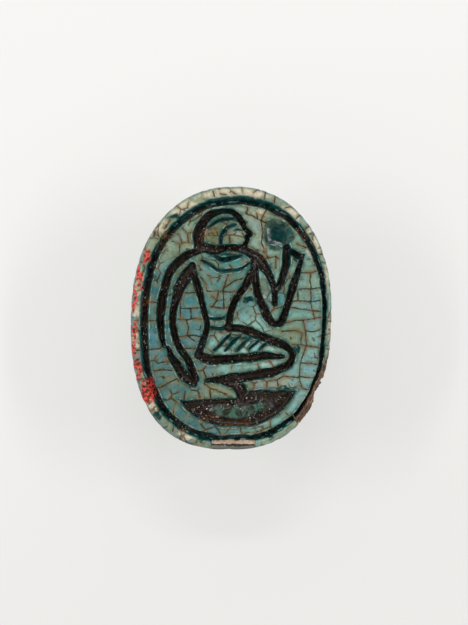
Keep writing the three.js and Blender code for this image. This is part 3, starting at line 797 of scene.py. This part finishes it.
def glaze_tone(xy):
    """The tone of the glaze at each point, blended from the named ones."""
    total = np.zeros((len(xy), 3))
    weights = np.full(len(xy), 1e-6)
    shaken = xy + 0.25 * shake(xy, 0.8, 41)
    for x, y, reach, colour in GLAZE_TONES.values():
        weight = np.exp(-((shaken[:, 0] - x) ** 2 + (shaken[:, 1] - y) ** 2) / reach**2) + 1e-5
        total += weight[:, None] * colour
        weights += weight
    return total / weights[:, None]


def rim_place(xy):
    """How far out across the rim each point is, from 0 at its inner edge to 1 at the outline."""
    x, y = upright(xy)
    to_edge = oval_radius(np.arctan2(y, x)) - np.hypot(x, y)
    edge, _ = border_cut(xy)
    out, _ = border_place(xy)
    off = np.where(out > 0, np.maximum(edge, 0), 0)
    return off / np.maximum(off + to_edge, 0.05)


def crack_distance(xy):
    """Distance in millimetres to the nearest of the named cracks."""
    shaken = xy + 0.05 * shake(xy, 0.4, 61)
    nearest = np.full(len(xy), 0.5)
    for points in CRACKS:
        line = np.column_stack((np.array(points), np.zeros(len(points))))
        gap, _ = along_line(shaken, line, 0.5)
        nearest = np.minimum(nearest, gap)
    return nearest


def read_vectors(items, name):
    values = np.empty(len(items) * 3)
    items.foreach_get(name, values)
    return values.reshape(-1, 3)


def hollowness(mesh, rounds=40):
    """How far, in millimetres, each vertex lies below the surface smoothed out around it."""
    ends = np.empty(len(mesh.edges) * 2, int)
    mesh.edges.foreach_get("vertices", ends)
    first, second = ends.reshape(-1, 2).T
    points = read_vectors(mesh.vertices, "co") / MM
    count = np.maximum(np.bincount(ends, minlength=len(points)), 1)
    smooth = points
    for _ in range(rounds):
        total = np.column_stack([
            np.bincount(first, smooth[second, axis], len(points))
            + np.bincount(second, smooth[first, axis], len(points))
            for axis in range(3)
        ])
        smooth = total / count[:, None]
    return np.sum((smooth - points) * read_vectors(mesh.vertices, "normal"), axis=1)





def paint(mesh):
    """Stores on the mesh where cuts, cracks, wear, bare stone, paint and dirt are, and where painted shade
    and painted highlights go, for the material.
    """
    points = read_vectors(mesh.vertices, "co") / MM
    xy, height = points[:, :2], points[:, 2]
    x, y = upright(xy)
    direction = np.arctan2(y, x)
    on_face = height > HEIGHT - FACE_REACH
    on_plate = height > HEIGHT - PLATE
    edge, depth = engraving(xy)
    border, _ = border_cut(xy)
    _, border_turn = border_place(xy)
    border_clean = 1 - round_values(BORDER_DIRT, border_turn)
    lines = back_lines(x, y) * (height < BACK_EDGE - 0.3)
    # dirt and painted shade in the hollows and in the lines of the back
    seam_dirt_and_shade = np.maximum(smooth_step(0.03, 0.16, hollowness(mesh)), smooth_step(0.02, 0.12, lines))
    painted_down = smooth_step(HEIGHT - FACE_REACH, HEIGHT - 0.6, height + 0.3 * noise(points, 0.5, 82))
    past_break = smooth_step(-0.06, 0.03, np.hypot(x, y) - break_radius(direction, BREAK_TOP))
    broken = in_break(direction) & (height > HEIGHT - PLATE - 0.05)
    values = {
        "cut": np.where(on_face, edge, 1),
        "deep": np.where(on_face, depth, 0),
        "rim": np.where(on_face, rim_place(xy), 1),
        "crack": np.where(on_plate, crack_distance(xy), 0.5),
        "clean": np.where(border < 0.15, border_clean, spots(xy, CLEAN_CUTS, 0.15, 70)),
        "bed": basket_bed(xy) * on_face,
        # painted highlight line along the middle of some cuts
        "ridge": painted_highlight_in_cuts(xy) * on_face,
        "pool": spots(xy, TEAL_POOLS, 0.25, 100) * on_face,
        "seam_dirt_and_shade": seam_dirt_and_shade * (height < HEIGHT - 0.6),
        "wear": spots(xy, WORN, 0.25, 75) * on_face,
        "red": spots(xy, RED_PAINT, 0.3, 80) * painted_down,
        "stain": spots(xy, STAINS, 0.3, 85) * on_plate,
        "stone": np.maximum(np.where(broken, past_break, 0), spots(xy, BARE_STONE, 0.2, 90) * on_face),
        "nick": smooth_step(0.05, 0.15, nick_cut(xy)) * on_face,
        "nick_place": (NICK["y"] - xy[:, 1]) / (HALF_LENGTH + NICK["y"]),
    }
    for name, value in values.items():
        layer = mesh.attributes.new(name, "FLOAT", "POINT")
        layer.data.foreach_set("value", np.asarray(value, np.float32))
    tone = np.where(on_face[:, None], glaze_tone(xy), SIDE_TONE)
    layer = mesh.attributes.new("tone", "FLOAT_COLOR", "POINT")
    layer.data.foreach_set("color", np.column_stack((tone, np.ones(len(tone)))).astype(np.float32).ravel())


def place(name, data, at=(0, 0, 0)):
    """Puts a mesh, lamp or camera into the scene, at a place in millimetres."""
    made = bpy.data.objects.new(name, data)
    made.location = [value * MM for value in at]
    bpy.context.scene.collection.objects.link(made)
    return made


def amulet_object():
    points, faces = amulet_shape()
    mesh = bpy.data.meshes.new("scarab_glazed")
    mesh.from_pydata((points * MM).tolist(), [], faces)
    mesh.validate()
    made = place("scarab_glazed", mesh)
    drill(made)
    mesh = made.data
    mesh.polygons.foreach_set("use_smooth", np.ones(len(mesh.polygons), bool))
    mesh.set_sharp_from_angle(angle=math.radians(70))
    paint(mesh)
    return made


def drill(solid):
    """Cuts the hole for the string through the solid from end to end."""
    bpy.ops.mesh.primitive_cylinder_add(
        vertices=48, radius=BORE["radius"] * MM, depth=3 * HALF_LENGTH * MM,
        location=(0, 0, BORE["height"] * MM), rotation=(math.pi / 2, 0, 0),
    )
    drill_bit = bpy.context.object
    cut = solid.modifiers.new("bore", "BOOLEAN")
    cut.operation = "DIFFERENCE"
    cut.solver = "MANIFOLD"
    cut.object = drill_bit
    drilled = solid.evaluated_get(bpy.context.evaluated_depsgraph_get())
    solid.data = bpy.data.meshes.new_from_object(drilled)
    solid.modifiers.clear()
    bpy.data.objects.remove(drill_bit)


# ---------------------------------------------------------------- materials


class Signal:
    """An output of a material's node. Arithmetic with it adds a math node and gives that node's output."""

    def __init__(self, nodes, socket):
        self.nodes = nodes
        self.socket = socket

    def __add__(self, other):
        return self.nodes.math("ADD", self, other)

    def __sub__(self, other):
        return self.nodes.math("SUBTRACT", self, other)

    def __rsub__(self, other):
        return self.nodes.math("SUBTRACT", other, self)

    def __mul__(self, other):
        return self.nodes.math("MULTIPLY", self, other)

    def ramp(self, low, high):
        """0 up to low, 1 from high on, and the other way round where high is below low."""
        ends = (low, high, 0, 1) if low < high else (high, low, 1, 0)
        inputs = dict(zip(("From Min", "From Max", "To Min", "To Max"), ends))
        return self.nodes.add("MapRange", 0, {"Value": self, **inputs}, interpolation_type="SMOOTHSTEP")

    def beside(self, output):
        """Another output of the same node."""
        return Signal(self.nodes, self.socket.node.outputs[output])


class Nodes:
    """Adds a material's nodes. Places are in millimetres from the object's origin."""

    def __init__(self, name):
        self.material = bpy.data.materials.new(name)
        self.material.use_nodes = True
        self.tree = self.material.node_tree
        self.place = self.scaled(self.add("TexCoord", "Object"), 1 / MM)

    def link(self, value, socket):
        if isinstance(value, Signal):
            self.tree.links.new(value.socket, socket)
        else:
            socket.default_value = (*value, 1) if socket.type == "RGBA" else value

    def add(self, kind, output, inputs=None, **settings):
        """Adds a node with these settings and inputs, by name or number, and returns the output asked for."""
        node = self.tree.nodes.new("ShaderNode" + kind)
        for name, value in settings.items():
            setattr(node, name, value)
        for name, value in (inputs or {}).items():
            self.link(value, node.inputs[name])
        return Signal(self, node.outputs[output])

    def surface(self, inputs):
        """Gives the shader its inputs, and returns the finished material."""
        for name, value in inputs.items():
            self.link(value, self.tree.nodes["Principled BSDF"].inputs[name])
        return self.material

    def vector(self, operation, first, second):
        return self.add("VectorMath", 0, {0: first, 1: second}, operation=operation)

    def scaled(self, vector, factor):
        return self.add("VectorMath", 0, {0: vector, "Scale": factor}, operation="SCALE")

    def math(self, operation, first, second):
        return self.add("Math", 0, {0: first, 1: second}, operation=operation)

    def highest(self, first, second):
        return self.math("MAXIMUM", first, second)

    def painted(self, name, output="Fac"):
        """What paint stored on the mesh under this name."""
        return self.add("Attribute", output, attribute_name=name)

    def noise(self, size, detail=2.0, rough=0.5, place=None):
        inputs = {"Vector": place or self.place, "Scale": 1 / size, "Detail": detail, "Roughness": rough}
        return self.add("TexNoise", 0, inputs)

    def cells(self, size, place, feature="F1", randomness=1.0):
        """Distance from the middle, or to the edge, of cells this size."""
        inputs = {"Vector": place, "Scale": 1 / size, "Randomness": randomness}
        return self.add("TexVoronoi", "Distance", inputs, feature=feature)

    def levels(self, cells):
        """Three values for each cell, each the same all over the cell."""
        first = self.add("SeparateColor", 0, {0: cells.beside("Color")})
        return first, first.beside(1), first.beside(2)

    def shift(self, amount, size):
        """The place, moved about by noise."""
        move = self.vector("SUBTRACT", self.noise(size).beside("Color"), (0.5, 0.5, 0.5))
        return self.vector("ADD", self.place, self.scaled(move, amount))

    def mix(self, share, first, second, blend="MIX"):
        return self.add("Mix", 2, {0: share, 6: first, 7: second}, data_type="RGBA", blend_type=blend)

    def blend(self, size, detail, low, high, first, second):
        """Two colours in patches of about this size."""
        return self.mix(self.noise(size, detail).ramp(low, high), first, second)


class GlazedStone(Nodes):
    """The glazed stone's nodes. Each function below that is given them lays one thing over a colour."""

    def __init__(self):
        super().__init__("glazed_steatite")
        self.cut, self.deep, self.rim = (self.painted(name) for name in ("cut", "deep", "rim"))
        self.pool, self.stain, self.stone = (self.painted(name) for name in ("pool", "stain", "stone"))
        self.wavering, self.fine, self.coarse = self.noise(1.2), self.noise(0.16, 3), self.noise(0.5, 3)
        self.warped = self.shift(0.5, 1.1)
        self.sunk = self.deep + (self.coarse + self.fine * 0.6 - 0.8) * 0.42
        dirty = 1 - self.painted("clean") * 0.95
        self.filled = self.sunk.ramp(0.13, 0.42) * self.cut.ramp(0.02, -0.13) * dirty
        self.thin = 1 - self.pool * 0.9  # no cracks or painted edge highlights show in pools of thick glaze
        self.on_glaze = (1 - self.filled) * self.deep.ramp(0.12, 0.03) * self.thin


def plain_glaze(n):
    """Each cell between cracks has a tone of its own, and there is fine mottling over all of it."""
    lightness, blueness, _ = n.levels(n.cells(1.05, n.warped, randomness=0.8))
    level = n.fine * 0.85 + n.wavering * 0.6 + lightness * 0.22 + 0.27
    grey = n.add("CombineColor", 0, {0: level, 1: level, 2: level})
    colour = n.mix(1.0, n.painted("tone", "Color"), grey, "MULTIPLY")
    colour = n.mix(n.noise(0.9, 3).ramp(0.48, 0.7) * 0.5, colour, srgb(118, 122, 92))
    blue = n.noise(0.7, 2).ramp(0.52, 0.72) + blueness.ramp(0.55, 0.9)
    return n.mix(blue * 0.28, colour, srgb(96, 144, 160))


def rim_glaze(n, colour):
    """The rim is paler and greener on its crest, and bluer beside it."""
    crest = n.rim.ramp(0.12, 0.34) * n.rim.ramp(0.86, 0.6) * n.coarse.ramp(0.25, 0.6)
    colour = n.mix(crest * 0.75, colour, srgb(138, 144, 116))
    beyond = n.rim.ramp(0.66, 0.88) * n.noise(0.7, 3).ramp(0.3, 0.6)
    return n.mix(beyond * 0.8, colour, n.blend(0.35, 3, 0.42, 0.6, srgb(62, 96, 92), srgb(120, 142, 136)))


def worn_places(n, colour):
    """Glaze worn to beige, and where it is."""
    on_crest = n.highest(n.rim.ramp(0.05, 0.22) * n.rim.ramp(0.95, 0.7), n.rim.ramp(0.02, 0.0))
    worn = n.painted("wear") * on_crest * (n.coarse + n.fine * 0.3).ramp(0.28, 0.6)
    beige = n.mix(n.wavering, srgb(128, 112, 84), srgb(176, 166, 138))
    return n.mix(worn, colour, n.mix(n.fine, beige, srgb(232, 224, 200))), worn


def glaze_at_cuts(n, colour):
    """Glaze deepens in tone to each cut and is thickest in it; painted shade darkens each cut's edge, and a
    painted highlight runs along some edges.
    """
    brink = n.cut.ramp(0.36, 0.0) * n.noise(0.9, 2).ramp(0.36, 0.54)
    colour = n.mix(brink * 0.85, colour, n.blend(0.8, 2, 0.42, 0.58, srgb(58, 72, 46), srgb(14, 84, 82)))
    # painted shade: the glaze darkens towards each cut's edge
    painted_shade = n.cut.ramp(0.18, -0.03) * n.coarse.ramp(0.2, 0.5)
    painted_shade_colour = n.mix(n.wavering.ramp(0.42, 0.58), srgb(28, 46, 36), srgb(12, 66, 64))
    colour = n.mix(painted_shade * 0.7, colour, painted_shade_colour)
    shallow = n.blend(0.6, 3, 0.4, 0.6, srgb(6, 58, 54), srgb(22, 96, 98))
    shallow = n.mix(n.pool * 0.85, shallow, srgb(6, 41, 35))
    colour = n.mix(n.pool * n.coarse.ramp(0.1, 0.35), colour, shallow)
    thick = n.mix(n.coarse.ramp(0.4, 0.62), srgb(6, 30, 28), srgb(14, 62, 60))
    thick = n.mix(n.deep.ramp(0.04, 0.34), shallow, thick)
    colour = n.mix(n.sunk.ramp(-0.04, 0.2) * n.deep.ramp(0.0, 0.16), colour, thick)
    # painted highlight: a pale line just outside some cut edges
    light = n.cut.ramp(0.0, 0.04) * n.cut.ramp(0.12, 0.05) * n.noise(0.5, 3).ramp(0.5, 0.6) * n.thin
    return n.mix(light * 0.55, colour, srgb(168, 196, 190))


def packed_dirt(n, colour):
    """Dirt in the cuts, with rusty grains, pale grains that are partly painted glints, and a painted
    highlight line along the middle of some cuts.
    """
    grains = n.cells(0.12, n.shift(0.2, 0.2))
    reddish, pale, rusty = n.levels(grains)
    dirt = n.mix(n.coarse.ramp(0.35, 0.65), srgb(4, 5, 5), srgb(26, 15, 12))
    dirt = n.mix(reddish.ramp(0.72, 0.95) * 0.6, dirt, srgb(80, 44, 36))
    rust = n.mix(rusty.ramp(0.3, 0.8), srgb(52, 30, 16), srgb(128, 80, 42))
    dirt = n.mix(n.stain * n.fine.ramp(0.25, 0.5) * 0.8, dirt, rust)
    # pale grains: partly grit, partly painted glints
    pale = pale.ramp(0.8, 0.9) * grains.ramp(0.55, 0.35) * n.noise(0.4).ramp(0.4, 0.54)
    dirt = n.mix(pale, dirt, srgb(190, 182, 176))
    # painted highlight: a pale line along the middle of some cuts
    ridge = n.painted("ridge").ramp(0.3, 0.8) * n.fine.ramp(0.42, 0.56)
    dirt = n.mix(ridge * 0.75, dirt, srgb(150, 158, 158))
    return n.mix(n.filled, colour, dirt)


def basket_floor(n, colour):
    streaks = n.noise(0.5, 3, 0.6, n.vector("MULTIPLY", n.place, (1.6, 0.5, 1)))
    bed = n.painted("bed").ramp(0.12, 0.6) * streaks.ramp(0.32, 0.5)
    return n.mix(bed * 0.75, colour, n.blend(0.7, 3, 0.42, 0.6, srgb(46, 50, 32), srgb(76, 112, 98)))


def cracks(n, colour):
    """The named cracks and a finer network between them, with brown stain beside both, and their lines."""
    crack = n.painted("crack") + (n.fine - 0.5) * 0.08
    cell_edge = n.cells(1.05, n.warped, "DISTANCE_TO_EDGE", 0.8)
    network = cell_edge + n.noise(1.6).ramp(0.54, 0.36) * 0.1 + crack.ramp(0.46, 0.3) * 0.3
    line = n.highest(crack.ramp(0.088, 0.02), network.ramp(0.075, 0.02) * 0.85)
    halo = n.highest(crack.ramp(0.38, 0.03), network.ramp(0.26, 0.02) * 0.8)
    margin = n.highest(crack.ramp(0.5, 0.05), network.ramp(0.34, 0.03)) * n.noise(0.8, 3).ramp(0.36, 0.58)
    margin_colour = n.blend(1.1, 2, 0.42, 0.6, srgb(94, 110, 78), srgb(136, 134, 102))
    colour = n.mix(margin * n.on_glaze * 0.5, colour, margin_colour)
    colour = n.mix(halo * n.coarse.ramp(0.34, 0.6) * n.on_glaze * 0.6, colour, srgb(94, 78, 42))
    crack_colour = n.blend(0.5, 2, 0.47, 0.66, srgb(26, 17, 12), srgb(96, 56, 30))
    return n.mix(line * n.on_glaze * 0.9, colour, crack_colour), line


def specks_and_seams(n, colour):
    """Dark specks in the glaze, and dirt with painted shade in the beetle's seams and hollows."""
    specks = n.cells(0.26, n.shift(0.3, 0.4)).ramp(0.3, 0.14) * n.noise(0.7).ramp(0.46, 0.6) * n.on_glaze
    colour = n.mix(specks * 0.6, colour, srgb(40, 52, 46))
    # dirt and painted shade in the hollows and seams
    seam_dirt_and_shade = n.painted("seam_dirt_and_shade") * n.coarse.ramp(0.28, 0.5)
    return n.mix(seam_dirt_and_shade * 0.85, colour, n.mix(n.fine, srgb(18, 16, 13), srgb(64, 52, 38)))


def stains(n, colour):
    stained = n.stain * (n.coarse * 0.7 + n.fine * 0.3).ramp(0.42, 0.58) * (1 - n.filled)
    return n.mix(stained * 0.8, colour, n.blend(0.22, 2, 0.42, 0.62, srgb(44, 30, 18), srgb(132, 92, 54)))


def red_paint(n, colour):
    """Remains of red paint, and where they are."""
    red = n.painted("red") * (n.fine * 0.6 + n.coarse * 0.4).ramp(0.34, 0.46)
    return n.mix(red, colour, n.blend(0.2, 2, 0.4, 0.58, srgb(66, 20, 13), srgb(208, 68, 54))), red


def bare_stone(n, colour):
    """The stone in the break, in slanting layers."""
    slant = {"Vector": n.place, "Angle": math.radians(27)}
    slanting = n.add("VectorRotate", 0, slant, rotation_type="Z_AXIS")
    layers = n.noise(0.3, 4, 0.6, n.vector("MULTIPLY", slanting, (2.6, 0.45, 0.8)))
    stone = n.mix(layers.ramp(0.4, 0.5), srgb(20, 12, 8), srgb(88, 60, 38))
    stone = n.mix(layers.ramp(0.55, 0.68), stone, srgb(172, 144, 112))
    return n.mix(n.stone, colour, stone)


def chip_in_edge(n, colour):
    """The chip in the rim's lower edge: a pale strip and a greenish one, each between dark lines."""
    across = n.painted("nick_place") + (n.coarse - 0.5) * 0.5
    pale = n.mix(n.fine, srgb(140, 112, 90), srgb(224, 202, 180))
    greenish = n.mix(n.coarse, srgb(60, 76, 72), srgb(120, 118, 104))
    chip = n.mix(across.ramp(0.04, 0.12), srgb(44, 28, 18), pale)
    chip = n.mix(across.ramp(0.38, 0.46), chip, srgb(44, 26, 18))
    chip = n.mix(across.ramp(0.58, 0.66), chip, greenish)
    return n.mix(n.painted("nick"), colour, chip)


def glaze_material():
    n = GlazedStone()
    colour, worn = worn_places(n, rim_glaze(n, plain_glaze(n)))
    colour = basket_floor(n, packed_dirt(n, glaze_at_cuts(n, colour)))
    colour, line = cracks(n, colour)
    colour, red = red_paint(n, stains(n, specks_and_seams(n, colour)))
    colour = chip_in_edge(n, bare_stone(n, colour))
    dull = n.highest(n.stone, n.highest(worn, red))
    height = n.noise(0.35, 2) * 0.012 + line * -0.02 + n.noise(0.09, 2) * (n.filled + n.stone) * 0.03
    return n.surface({
        "Base Color": colour,
        "Specular IOR Level": 0.3,
        "Roughness": n.filled * 0.2 + dull * 0.45 + n.pool * 0.07 + n.coarse * 0.12 + 0.05,
        "Normal": n.add("Bump", 0, {"Height": height, "Distance": MM, "Strength": 0.8}),
    })


def floor_material():
    """A pale sheet that glows a little: a painted glow, stronger to the back and the left, weaker to the
    front and the right.
    """
    n = Nodes("floor_sheet")
    x = n.add("SeparateXYZ", 0, {0: n.place})
    back = x.beside(1) - x * 0.35
    glow = {"Value": back, "From Min": -22, "From Max": 22, "To Min": 0.44, "To Max": 0.51}
    return n.surface({
        "Base Color": (0.36, 0.357, 0.35),
        "Roughness": 1,
        "Specular IOR Level": 0,
        "Emission Color": (1, 0.99, 0.975),
        "Emission Strength": n.add("MapRange", 0, glow),
    })


# ---------------------------------------------------------------- the room


def floor():
    size = 2000 * MM
    corners = [(-size, -size, 0), (size, -size, 0), (size, size, 0), (-size, size, 0)]
    mesh = bpy.data.meshes.new("floor")
    mesh.from_pydata(corners, [], [(0, 1, 2, 3)])
    mesh.materials.append(floor_material())
    place("floor", mesh)


def camera():
    """A camera straight above the face, which sees this height of the scene around it."""
    lens, sensor, view_height = 120, 36, 46.875
    data = bpy.data.cameras.new("camera")
    data.lens, data.sensor_width = lens, sensor
    data.clip_start, data.clip_end = 0.001, 10
    distance = view_height * lens / sensor
    bpy.context.scene.camera = place("camera", data, (0.225, 0.41, HEIGHT + distance))


def strip_light(name, at, energy, width, height):
    """A lamp this wide along the floor and this high, aimed at the face."""
    lamp = bpy.data.lights.new(name, "AREA")
    lamp.shape = "RECTANGLE"
    lamp.energy = energy
    lamp.size, lamp.size_y = width * MM, height * MM
    aim = mathutils.Vector((-at[0], -at[1], HEIGHT - at[2]))
    place(name, lamp, at).rotation_euler = aim.to_track_quat("-Z", "Y").to_euler()


def light():
    """A bright room, dark straight overhead, with three small lamps for the glints."""
    world = bpy.data.worlds.new("world")
    world.use_nodes = True
    nodes, links = world.node_tree.nodes, world.node_tree.links
    parts = nodes.new("ShaderNodeSeparateXYZ")
    links.new(nodes.new("ShaderNodeTexCoord").outputs["Generated"], parts.inputs[0])
    overhead = nodes.new("ShaderNodeMapRange")
    overhead.interpolation_type = "SMOOTHSTEP"
    for name, value in {"From Min": 0.68, "From Max": 0.88, "To Min": 1.08, "To Max": 0.05}.items():
        overhead.inputs[name].default_value = value
    links.new(parts.outputs["Z"], overhead.inputs["Value"])
    links.new(overhead.outputs["Result"], nodes["Background"].inputs["Strength"])
    nodes["Background"].inputs["Color"].default_value = (1, 0.995, 0.98, 1)
    bpy.context.scene.world = world
    strip_light("light_left", (-230, 30, 200), 0.26, 160, 22)
    strip_light("light_right", (230, 20, 200), 0.26, 160, 22)
    strip_light("light_top", (0, 210, 250), 0.2, 140, 22)


camera()
light()
floor()

scarab = amulet_object()
scarab.data.materials.clear()  # drilling leaves an empty slot
scarab.data.materials.append(glaze_material())
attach(scarab, "root")
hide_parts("scarab")

bpy.context.scene.view_settings.view_transform = "Standard"
